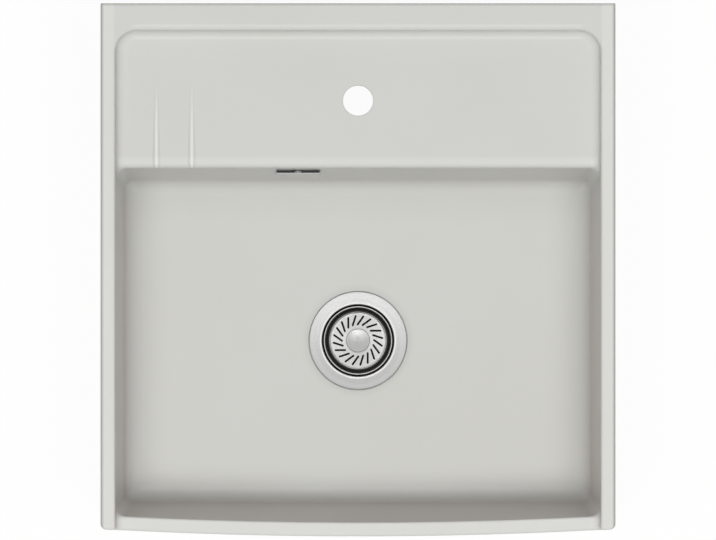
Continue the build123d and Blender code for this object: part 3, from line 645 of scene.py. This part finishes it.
def new_tree(name, inputs):
    """A Geometry Nodes tree: (tree, group input, group output, {input name: identifier})."""
    tree = bpy.data.node_groups.new(name, "GeometryNodeTree")
    tree.interface.new_socket("Geometry", in_out="INPUT", socket_type="NodeSocketGeometry")
    tree.interface.new_socket("Geometry", in_out="OUTPUT", socket_type="NodeSocketGeometry")
    sockets = {}
    for label, kind in (*inputs.items(), ("Material", "NodeSocketMaterial")):
        made = tree.interface.new_socket(label, in_out="INPUT", socket_type=kind)
        sockets[label] = made.identifier
    given = tree.nodes.new("NodeGroupInput").outputs
    return tree, given, tree.nodes.new("NodeGroupOutput"), sockets


def end_tree(tree, given, result, geometry):
    """Realize the instances, set the tree's material, and link them to its output."""
    real = put(tree, "GeometryNodeRealizeInstances", {"Geometry": geometry})[0]
    made = put(tree, "GeometryNodeSetMaterial", {"Geometry": real, "Material": given["Material"]})
    tree.links.new(made[0], result.inputs[0])


def grown(name, seed, tree, sockets, values):
    """Plain mesh piece that a Geometry Nodes tree makes from the seed, which is removed."""
    modifier = seed.modifiers.new(tree.name, "NODES")
    modifier.node_group = tree
    for label, value in values.items():
        modifier[sockets[label]] = value
    mesh = evaluated_mesh(seed)
    mesh.name = name
    for index in reversed(range(len(mesh.materials))):
        if mesh.materials[index] is None:
            mesh.materials.pop(index=index)
    piece = add_object(name, mesh)
    bpy.data.objects.remove(seed)
    return piece


def softened(corners, steps=4):
    """Profile of (radius, height), with each corner (radius, height, rounding) rounded."""
    profile = []
    for index, (radius, height, rounding) in enumerate(corners):
        corner = Vector((radius, height))
        if rounding == 0.0:
            profile.append((radius, height))
            continue
        back = (Vector(corners[index - 1][:2]) - corner).normalized()
        ahead = (Vector(corners[(index + 1) % len(corners)][:2]) - corner).normalized()
        half = back.angle(ahead) / 2
        centre = corner + (back + ahead).normalized() * rounding / math.sin(half)
        start = corner + back * rounding / math.tan(half) - centre
        end = corner + ahead * rounding / math.tan(half) - centre
        for step in range(steps + 1):
            spoke = start.lerp(end, step / steps).normalized()
            profile.append(tuple(centre + spoke * rounding))
    return profile


def spun(name, profile, sides):
    """Piece turned round the Z axis from a profile that goes up outside and back down inside."""
    places = []
    rings = []
    for radius, height in profile:
        count = 1 if radius == 0.0 else sides
        rings.append([len(places) + side for side in range(count)])
        for side in range(count):
            turn = 2 * math.pi * side / sides
            places.append((radius * math.cos(turn), radius * math.sin(turn), height))
    faces = []
    for lower, upper in zip(rings, rings[1:] + rings[:1]):
        if len(lower) == len(upper) == 1:
            continue
        for side in range(sides):
            after = (side + 1) % sides
            loop = [lower[side % len(lower)], lower[after % len(lower)],
                    upper[after % len(upper)], upper[side % len(upper)]]
            faces.append(list(dict.fromkeys(loop)))
    mesh = bpy.data.meshes.new(name)
    mesh.from_pydata(places, [], faces)
    return add_object(name, mesh)


def prism(name, outline, thickness, edge):
    """Piece with this (radius, height) outline and thickness across Y, and rounded edges."""
    shape = bmesh.new()
    sides = [[shape.verts.new((radius, y, height)) for radius, height in outline]
             for y in (-thickness / 2, thickness / 2)]
    shape.faces.new(sides[0])
    shape.faces.new(sides[1][::-1])
    for index in range(len(outline)):
        shape.faces.new([sides[0][index - 1], sides[1][index - 1], sides[1][index],
                         sides[0][index]])
    bmesh.ops.recalc_face_normals(shape, faces=shape.faces)
    mesh = bpy.data.meshes.new(name)
    shape.to_mesh(mesh)
    shape.free()
    made = add_object(name, mesh)
    rounding = made.modifiers.new("edges", "BEVEL")
    rounding.width = edge
    rounding.segments = 2
    return made


def smooth(piece, degrees):
    """Smooth shading that keeps edges sharper than this angle."""
    piece.data.shade_smooth()
    piece.data.set_sharp_from_angle(angle=math.radians(degrees))


def middle(node):
    """Middle of a CAD node's box."""
    low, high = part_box(node)
    return (Vector(low) + Vector(high)) / 2


# ---- Hose
def hose_route(sizes):
    """Points along the hose: level from the waste, a bend, and up to the overflow head."""
    lower = middle("lower_hose_seal")
    upper = middle("upper_hose_seal")
    level = Vector((upper.x, upper.y, 0.0)).normalized()
    half_seal = (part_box("upper_hose_seal")[1][2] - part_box("upper_hose_seal")[0][2]) / 2
    bend = sizes.bend_radius
    bend_centre = Vector((upper.x, upper.y, lower.z + bend)) - level * bend
    points = [lower + level * half_seal]
    for step in range(BEND_STEPS + 1):
        turn = math.pi / 2 * step / BEND_STEPS
        spoke = level * math.sin(turn) - Vector((0, 0, math.cos(turn)))
        points.append(bend_centre + bend * spoke)
    points.append(upper - Vector((0, 0, half_seal)))
    return points


def seed_curve(name, points):
    """Poly curve through these points."""
    data = bpy.data.curves.new(name, "CURVE")
    data.dimensions = "3D"
    spline = data.splines.new("POLY")
    spline.points.add(len(points) - 1)
    for point, place in zip(spline.points, points):
        point.co = (*place, 1.0)
    return add_object(name, data)


def hose_tree():
    """Tube along a curve whose radius makes collars, plain cuffs and ribs."""
    inputs = dict.fromkeys((*HOSE_LENGTHS, "Step"), "NodeSocketFloat")
    tree, given, result, sockets = new_tree("ribbed_hose", {**inputs, "Sides": "NodeSocketInt"})
    even = put(tree, "GeometryNodeResampleCurve",
               {"Curve": given["Geometry"], "Length": given["Step"]}, mode="LENGTH")[0]
    along = put(tree, "GeometryNodeSplineParameter")["Length"]
    whole = put(tree, "GeometryNodeSplineLength")["Length"]
    from_end = calc(tree, "MINIMUM", along, calc(tree, "SUBTRACT", whole, along))

    ribbed = calc(tree, "SUBTRACT", whole, times(tree, 2.0, given["Cuff Length"]))
    ribs = calc(tree, "FLOOR", calc(tree, "DIVIDE", ribbed, given["Rib Pitch"]))
    from_cuff = calc(tree, "SUBTRACT", along, given["Cuff Length"])
    phase = times(tree, calc(tree, "DIVIDE", from_cuff, ribbed),
                  times(tree, ribs, 2 * math.pi))
    wave = times(tree, calc(tree, "COSINE", phase), -2.2)
    crest_share = remap(tree, wave, -1.0, 1.0, smooth=True)

    def choose(factor, first, second):
        return calc(tree, "MULTIPLY_ADD", factor,
                         calc(tree, "SUBTRACT", second, first), first)

    ribs_radius = choose(crest_share, given["Valley Radius"], given["Crest Radius"])
    past_collar = calc(tree, "GREATER_THAN", from_end, given["Collar Length"])
    past_cuff = calc(tree, "GREATER_THAN", from_end, given["Cuff Length"])
    plain_radius = choose(past_collar, given["Collar Radius"], given["Cuff Radius"])
    radius = choose(past_cuff, plain_radius, ribs_radius)
    ring = put(tree, "GeometryNodeCurvePrimitiveCircle",
               {"Resolution": given["Sides"], "Radius": 1.0}, mode="RADIUS")["Curve"]
    tube = put(tree, "GeometryNodeCurveToMesh",
               {"Curve": even, "Profile Curve": ring, "Scale": radius})[0]
    end_tree(tree, given, result, tube)
    return tree, sockets


# ---- Housing and overflow plate
def round_tree():
    """The seed repeated round the Z axis."""
    tree, given, result, sockets = new_tree("repeated_round", {
        "Count": "NodeSocketInt", "First Angle": "NodeSocketFloat"})
    places = put(tree, "GeometryNodeMeshLine",
                 {"Count": given["Count"], "Offset": (0.0, 0.0, 0.0)})[0]
    index = put(tree, "GeometryNodeInputIndex")[0]
    step = calc(tree, "DIVIDE", 2 * math.pi, given["Count"])
    turn = calc(tree, "MULTIPLY_ADD", index, step, given["First Angle"])
    euler = put(tree, "ShaderNodeCombineXYZ", {"Z": turn})[0]
    rotation = put(tree, "FunctionNodeEulerToRotation", {"Euler": euler})[0]
    copies = put(tree, "GeometryNodeInstanceOnPoints", {
        "Points": places, "Instance": given["Geometry"], "Rotation": rotation})[0]
    end_tree(tree, given, result, copies)
    return tree, sockets


def thread_tree():
    """Pointed ridge that winds up round the Z axis, with its ends run out."""
    labels = ("Root Radius", "Depth", "Pitch", "Start Height", "End Height")
    tree, given, result, sockets = new_tree("outlet_thread",
                                            dict.fromkeys(labels, "NodeSocketFloat"))
    climb = calc(tree, "SUBTRACT", given["End Height"], given["Start Height"])
    helix = put(tree, "GeometryNodeCurveSpiral", {
        "Resolution": 72, "Rotations": calc(tree, "DIVIDE", climb, given["Pitch"]),
        "Start Radius": given["Root Radius"], "End Radius": given["Root Radius"],
        "Height": climb, "Reverse": True})[0]
    lift = put(tree, "ShaderNodeCombineXYZ", {"Z": given["Start Height"]})[0]
    placed = put(tree, "GeometryNodeTransform", {"Geometry": helix, "Translation": lift})[0]
    upright = put(tree, "GeometryNodeSetCurveNormal", {"Curve": placed}, mode="Z_UP")[0]
    along = put(tree, "GeometryNodeSplineParameter")["Factor"]
    from_end = calc(tree, "MINIMUM", along, calc(tree, "SUBTRACT", 1.0, along))
    size = times(tree, remap(tree, from_end, 0.0, 0.05, 0.2, 1.0), given["Depth"])
    ridge = put(tree, "GeometryNodeCurvePrimitiveCircle", {"Resolution": 4, "Radius": 1.0},
                mode="RADIUS")["Curve"]
    wound = put(tree, "GeometryNodeCurveToMesh", {
        "Curve": upright, "Profile Curve": ridge, "Scale": size, "Fill Caps": True})[0]
    end_tree(tree, given, result, wound)
    return tree, sockets


def housing_shell(root_radius, low_z, top_z):
    """Housing's wall, with its flange, its cone and the outlet without its thread."""
    corners = [
        (root_radius, low_z, EASED), (root_radius, THREAD_TOP_Z, 0.0),
        (OUTLET_RADIUS, THREAD_TOP_Z + 1.0 * MM, 0.0), (OUTLET_RADIUS, CONE_LOW_Z, 1.0 * MM),
        (HOUSING_RADIUS, CONE_TOP_Z, 4.0 * MM), (HOUSING_RADIUS, RING_Z - 1.5 * MM, EASED),
        (RING_RADIUS, RING_Z - 0.9 * MM, EASED), (RING_RADIUS, RING_Z + 0.9 * MM, EASED),
        (HOUSING_RADIUS, RING_Z + 1.5 * MM, EASED), (HOUSING_RADIUS, FLANGE_LOW_Z, 1.2 * MM),
        (HOUSING_FLANGE, FLANGE_LOW_Z, 0.8 * MM), (HOUSING_FLANGE, top_z, 0.4 * MM),
        (HOUSING_BORE, top_z, 0.4 * MM), (HOUSING_BORE, CHAMBER_LOW_Z, 3.0 * MM),
        (OUTLET_BORE, BOSS_LOW_Z, 2.0 * MM), (OUTLET_BORE, low_z, 0.4 * MM)]
    return spun("housing_shell", softened(corners), 128)


def screw_boss():
    """Sleeve in the middle of the housing, round its brass insert."""
    corners = [(BOSS_RADIUS, BOSS_LOW_Z, EASED), (BOSS_RADIUS, BOSS_TOP_Z, EASED),
               (BOSS_BORE, BOSS_TOP_Z, EASED), (BOSS_BORE, BOSS_LOW_Z, EASED)]
    return spun("screw_boss", softened(corners), 48)


def hose_inlet():
    """Pipe from the housing's wall to the hose's lower seal."""
    seal = middle("lower_hose_seal")
    level = Vector((seal.x, seal.y, 0.0)).normalized()
    reach = math.hypot(seal.x, seal.y) - 1.0 * MM - INLET_START
    corners = [(INLET_RADIUS, 0.0, 0.0), (INLET_RADIUS, reach, 0.6 * MM),
               (INLET_BORE, reach, 0.4 * MM), (INLET_BORE, 0.0, 0.0)]
    pipe = spun("hose_inlet", softened(corners), 64)
    turn = level.to_track_quat("Z", "Y").to_matrix().to_4x4()
    start = level * INLET_START + Vector((0.0, 0.0, seal.z))
    pipe.data.transform(Matrix.Translation(start) @ turn)
    return pipe


def gusset_seed(sizes):
    """One gusset between the housing's wall and its flange, sunk a little into both."""
    inner = HOUSING_RADIUS - 1.5 * MM
    outer = HOUSING_FLANGE - 0.2 * MM
    top_z = FLANGE_LOW_Z + 0.5 * MM
    outline = [(inner, top_z), (inner, GUSSET_LOW_Z), (HOUSING_RADIUS + 0.3 * MM, GUSSET_LOW_Z),
               (outer, FLANGE_LOW_Z - 0.6 * MM), (outer, top_z)]
    return prism("gusset", outline, sizes.gusset_thickness, sizes.edge)


def web_seed(sizes):
    """One web between the screw's boss and the housing's wall, sunk a little into both."""
    inner = BOSS_RADIUS - 1.05 * MM
    outer = HOUSING_BORE + 1.0 * MM
    outline = [(inner, BOSS_TOP_Z), (inner, BOSS_LOW_Z), (OUTLET_BORE + 1.0 * MM, BOSS_LOW_Z),
               (outer, CHAMBER_LOW_Z), (outer, BOSS_TOP_Z)]
    return prism("web", outline, sizes.web_thickness, sizes.edge)


def plate_lip(drop, reach):
    """Lower edge of the overflow's plate, bent back to the bowl's wall."""
    top = -drop + PLATE_THICKNESS
    outline = [(0.0, -drop), (reach, -drop), (reach, top), (0.0, top)]
    lip = prism("plate_lip", outline, PLATE_WIDTH, PLATE_EDGE)
    bake_modifiers(lip)
    out = Vector((0.0, -math.cos(WALL_LEAN), math.sin(WALL_LEAN)))
    up = Vector((0.0, math.sin(WALL_LEAN), math.cos(WALL_LEAN)))
    turn = Matrix((out, up.cross(out), up)).transposed().to_4x4()
    lip.data.transform(Matrix.Translation(PLATE_MIDDLE) @ turn)
    return lip


# ---- Operators
class SINK_OT_ceramic(bpy.types.Operator):
    """Glaze the ceramic body"""

    bl_idname = "sink.ceramic"
    bl_label = "Ceramic body"

    def execute(self, context):
        dress(glazed_ceramic(context.scene.sink_ceramic), "sink_body")
        return {"FINISHED"}


class SINK_OT_steel(bpy.types.Operator):
    """Brush the flange, basket, pin, clamp screw and ring, and the overflow's plate and screw"""

    bl_idname = "sink.steel"
    bl_label = "Steel pieces"

    def execute(self, context):
        finish = context.scene.sink_steel
        rough = finish.roughness
        flange_steel = turned_steel(finish, "flange_steel", rough, shade_mask=in_the_cup,
                                    fall=finish.flange_fall, highlight_ring=FLANGE_HIGHLIGHT)
        basket_steel = turned_steel(finish, "basket_steel", rough, 1.1, shade_mask=in_the_channel,
                                    highlight_ring=BASKET_HIGHLIGHT)
        dress(flange_steel, "waste_flange")
        dress(basket_steel, "basket")
        fitting_steel = turned_steel(finish, "fitting_steel", 0.8 * rough)
        dress(fitting_steel, "basket_pin", "clamp_screw", "grip_ring")
        lip = plate_lip(drop=9.0 * MM, reach=3.7 * MM)
        dress(drawn_steel(finish, "plate_steel", rough), "overflow_cover", "overflow_screw", lip)
        smooth(lip, 40.0)
        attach(lip, "sink")
        return {"FINISHED"}


class SINK_OT_knob(bpy.types.Operator):
    """Turn the basket's knob, with its crowned top"""

    bl_idname = "sink.knob"
    bl_label = "Knob"

    def execute(self, context):
        sizes = context.scene.sink_knob
        low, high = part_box("basket_knob")
        radius = (high[0] - low[0]) / 2
        hollow_radius = sizes.neck - 3.0 * MM
        hollow_z = low[2] + 2.0 * MM
        neck_z = low[2] + sizes.undercut
        crown = []
        for step in range(CROWN_STEPS):
            share_out = 1.0 - step / CROWN_STEPS
            height = high[2] - sizes.crown * share_out**2
            crown.append(((radius - sizes.edge) * share_out, height, 0.0))
        corners = [
            (0.0, hollow_z, 0.0), (hollow_radius, hollow_z, 0.0), (hollow_radius, low[2], 0.0),
            (sizes.neck, low[2], 0.0), (sizes.neck, neck_z, 0.8 * MM), (radius, neck_z, 0.5 * MM),
            (radius, high[2] - sizes.crown, 0.8 * sizes.edge), *crown, (0.0, high[2], 0.0)]
        knob = spun("crowned_knob", softened(corners), KNOB_SIDES)
        steel = context.scene.sink_steel
        dress(turned_steel(steel, "knob_steel", sizes.roughness, sizes.shine), knob)
        smooth(knob, 40.0)
        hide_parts("basket_knob")
        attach(knob, "strainer")
        return {"FINISHED"}


class SINK_OT_fittings(bpy.types.Operator):
    """Colour the plastic fittings, rubber seals and brass inserts"""

    bl_idname = "sink.fittings"
    bl_label = "Fittings under the sink"

    def execute(self, context):
        finish = context.scene.sink_plastic
        plastic = moulded_plastic("moulded_black", finish.housing, 0.42, 0.5 * MM, 0.01 * MM)
        rubber = moulded_plastic("seal_rubber", finish.rubber, 0.62, 0.8 * MM, 0.02 * MM)
        brass = turned_brass(finish.brass)
        dress(plastic, "overflow_head", "upper_hose_nut", "lower_hose_nut")
        dress(rubber, "flange_seal", "lower_seal", "basket_plug", "overflow_gasket",
              "upper_hose_seal", "lower_hose_seal")
        dress(brass, "housing_insert", "overflow_insert")
        return {"FINISHED"}


class SINK_OT_housing(bpy.types.Operator):
    """Make the housing under the bowl, with its gussets, its webs and the outlet's thread"""

    bl_idname = "sink.housing"
    bl_label = "Waste housing"

    def execute(self, context):
        sizes = context.scene.sink_housing
        tint = context.scene.sink_plastic.housing
        plastic = moulded_plastic("housing_black", tint, 0.40, 0.5 * MM, 0.01 * MM)
        low_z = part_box("waste_housing")[0][2]
        top_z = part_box("waste_housing")[1][2]
        root_radius = OUTLET_RADIUS - sizes.thread_depth
        shell = housing_shell(root_radius, low_z, top_z)
        boss = screw_boss()
        inlet = hose_inlet()
        dress(plastic, shell, boss, inlet)

        tree, sockets = round_tree()
        gussets = grown("flange_gussets", gusset_seed(sizes), tree, sockets,
                        {"Count": sizes.gussets, "First Angle": 0.0, "Material": plastic})
        webs = grown("boss_webs", web_seed(sizes), tree, sockets,
                     {"Count": 3, "First Angle": math.pi / 3, "Material": plastic})

        tree, sockets = thread_tree()
        seed = add_object("thread_seed", bpy.data.meshes.new("thread_seed"))
        thread = grown("outlet_thread", seed, tree, sockets, {
            "Root Radius": root_radius, "Depth": sizes.thread_depth, "Pitch": sizes.thread_pitch,
            "Start Height": low_z + 1.4 * MM, "End Height": THREAD_TOP_Z - 0.4 * MM,
            "Material": plastic})

        for piece in (shell, boss, inlet, gussets, webs, thread):
            smooth(piece, 40.0)
            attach(piece, "sink")
        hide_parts("waste_housing")
        return {"FINISHED"}


class SINK_OT_hose(bpy.types.Operator):
    """Make the ribbed hose from the waste to the overflow"""

    bl_idname = "sink.hose"
    bl_label = "Ribbed hose"

    def execute(self, context):
        sizes = context.scene.sink_hose
        tree, sockets = hose_tree()
        tint = context.scene.sink_plastic.hose
        values = {label: getattr(sizes, label.lower().replace(" ", "_")) for label in HOSE_LENGTHS}
        values["Step"] = sizes.rib_pitch / sizes.steps_per_rib
        values["Sides"] = sizes.sides
        values["Material"] = moulded_plastic("hose_grey", tint, 0.36, 1.2 * MM, 0.01 * MM)
        seed = seed_curve("hose_route", hose_route(sizes))
        hose = grown("ribbed_hose", seed, tree, sockets, values)
        wall = hose.modifiers.new("wall", "SOLIDIFY")
        wall.thickness = sizes.wall
        wall.offset = -1.0
        bake_modifiers(hose)
        smooth(hose, 50.0)
        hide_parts("overflow_hose")
        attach(hose, "sink")
        return {"FINISHED"}


class SINK_OT_studio(bpy.types.Operator):
    """Make the floor, the lights and the camera"""

    bl_idname = "sink.studio"
    bl_label = "Studio"

    def execute(self, context):
        studio = context.scene.sink_studio
        make_floor(studio)
        make_sky(studio)
        make_lights(studio)
        make_camera(studio)
        context.scene.view_settings.view_transform = "Standard"
        return {"FINISHED"}


# ---- Studio
def seen_directly(tree):
    """1 for rays that show the background: straight, mirrored or through glass."""
    path = put(tree, "ShaderNodeLightPath")
    return chain(tree, "MAXIMUM", path["Is Camera Ray"], path["Is Glossy Ray"],
                 path["Is Transmission Ray"])


def make_floor(studio):
    """Pale floor that keeps the sink's shadow, is nearly white and can't be seen from below."""
    corners = [(x * FLOOR_HALF_WIDTH, y * FLOOR_HALF_WIDTH, CAD_BOX[0][2])
               for x, y in ((-1, -1), (1, -1), (1, 1), (-1, 1))]
    mesh = bpy.data.meshes.new("studio_floor")
    mesh.from_pydata(corners, [], [(0, 1, 2, 3)])
    floor = add_object("studio_floor", mesh)
    material = bpy.data.materials.new("pale_floor")
    material.use_nodes = True
    tree = material.node_tree
    tree.nodes.clear()
    lit = put(tree, "ShaderNodeBsdfDiffuse", {"Color": (*studio.floor, 1.0)})[0]
    white = put(tree, "ShaderNodeEmission")[0]
    whiteness = remap(tree, seen_directly(tree), 0.0, 1.0, studio.floor_glow,
                      studio.floor_whiteness)
    top = put(tree, "ShaderNodeMixShader", {0: whiteness, 1: lit, 2: white})[0]
    clear = put(tree, "ShaderNodeBsdfTransparent")[0]
    below = put(tree, "ShaderNodeNewGeometry")["Backfacing"]
    surface = put(tree, "ShaderNodeMixShader", {0: below, 1: top, 2: clear})[0]
    put(tree, "ShaderNodeOutputMaterial", {"Surface": surface})
    dress(material, floor)


def make_sky(studio):
    """Even light from all round, in front of a white background."""
    world = bpy.data.worlds.new("studio_sky")
    world.use_nodes = True
    tree = world.node_tree
    tree.nodes.clear()
    seen = seen_directly(tree)
    strength = remap(tree, seen, 0.0, 1.0, studio.sky, 1.0)
    tint = blend_colour(tree, seen, studio.sky_tint, (1.0, 1.0, 1.0))
    light = put(tree, "ShaderNodeBackground", {"Color": tint, "Strength": strength})[0]
    put(tree, "ShaderNodeOutputWorld", {"Surface": light})
    bpy.context.scene.world = world


def area_light(name, place, size, watts, target):
    """A square soft light that looks at target."""
    data = bpy.data.lights.new(name, "AREA")
    data.shape = "SQUARE"
    data.size = size
    data.energy = watts
    light = add_object(name, data)
    light.location = place
    light.rotation_euler = (target - place).to_track_quat("-Z", "Y").to_euler()
    return light


def make_lights(studio):
    """Two lamps overhead, to the sides and a little to the front, and one that steel shows."""
    target = Vector((0.0, 0.08, 0.15))
    for side in (-1, 1):
        aim = Vector((side * math.tan(studio.lamp_spread), -math.tan(studio.lamp_lean), 1.0))
        place = target + studio.lamp_distance * aim.normalized()
        lamp = area_light("overhead_lamp", place, studio.lamp_size, studio.lamp_power, target)
        lamp.visible_glossy = False
    aim = Vector((0.0, math.sin(studio.gleam_lean), math.cos(studio.gleam_lean)))
    place = target + studio.lamp_distance * aim
    area_light("gleam_lamp", place, studio.lamp_size, studio.gleam_power, target)


def make_camera(studio):
    """Camera straight above, far away, as in the photograph."""
    low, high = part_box("sink_body")
    data = bpy.data.cameras.new("camera")
    data.lens = data.sensor_width * studio.camera_height / studio.view_width
    data.clip_end = 4 * studio.camera_height
    camera = add_object("camera", data)
    camera.location = (0.0, (low[1] + high[1]) / 2, high[2] + studio.camera_height)
    bpy.context.scene.camera = camera


# ---- Add-on
class SINK_PT_panel(bpy.types.Panel):
    """Lists the pieces"""

    bl_idname = "SINK_PT_panel"
    bl_label = "Kitchen sink"
    bl_space_type = "VIEW_3D"
    bl_region_type = "UI"
    bl_category = "Sink"

    def draw(self, context):
        for piece in PIECES:
            self.layout.operator(piece.bl_idname)


GROUPS = {
    "sink_ceramic": CeramicFinish,
    "sink_steel": SteelFinish,
    "sink_plastic": PlasticFinish,
    "sink_knob": KnobSizes,
    "sink_housing": HousingSizes,
    "sink_hose": HoseSizes,
    "sink_studio": Studio,
}
PIECES = (SINK_OT_ceramic, SINK_OT_steel, SINK_OT_knob, SINK_OT_fittings, SINK_OT_housing,
          SINK_OT_hose, SINK_OT_studio)
CLASSES = (*GROUPS.values(), *PIECES, SINK_PT_panel)


def register():
    for cls in CLASSES:
        bpy.utils.register_class(cls)
    for name, group in GROUPS.items():
        setattr(bpy.types.Scene, name, PointerProperty(type=group))


def unregister():
    for name in GROUPS:
        delattr(bpy.types.Scene, name)
    for cls in reversed(CLASSES):
        bpy.utils.unregister_class(cls)


def main():
    """Register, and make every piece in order."""
    register()
    for piece in PIECES:
        getattr(bpy.ops.sink, piece.bl_idname.split(".")[1])()


if __name__ == "__main__":
    main()
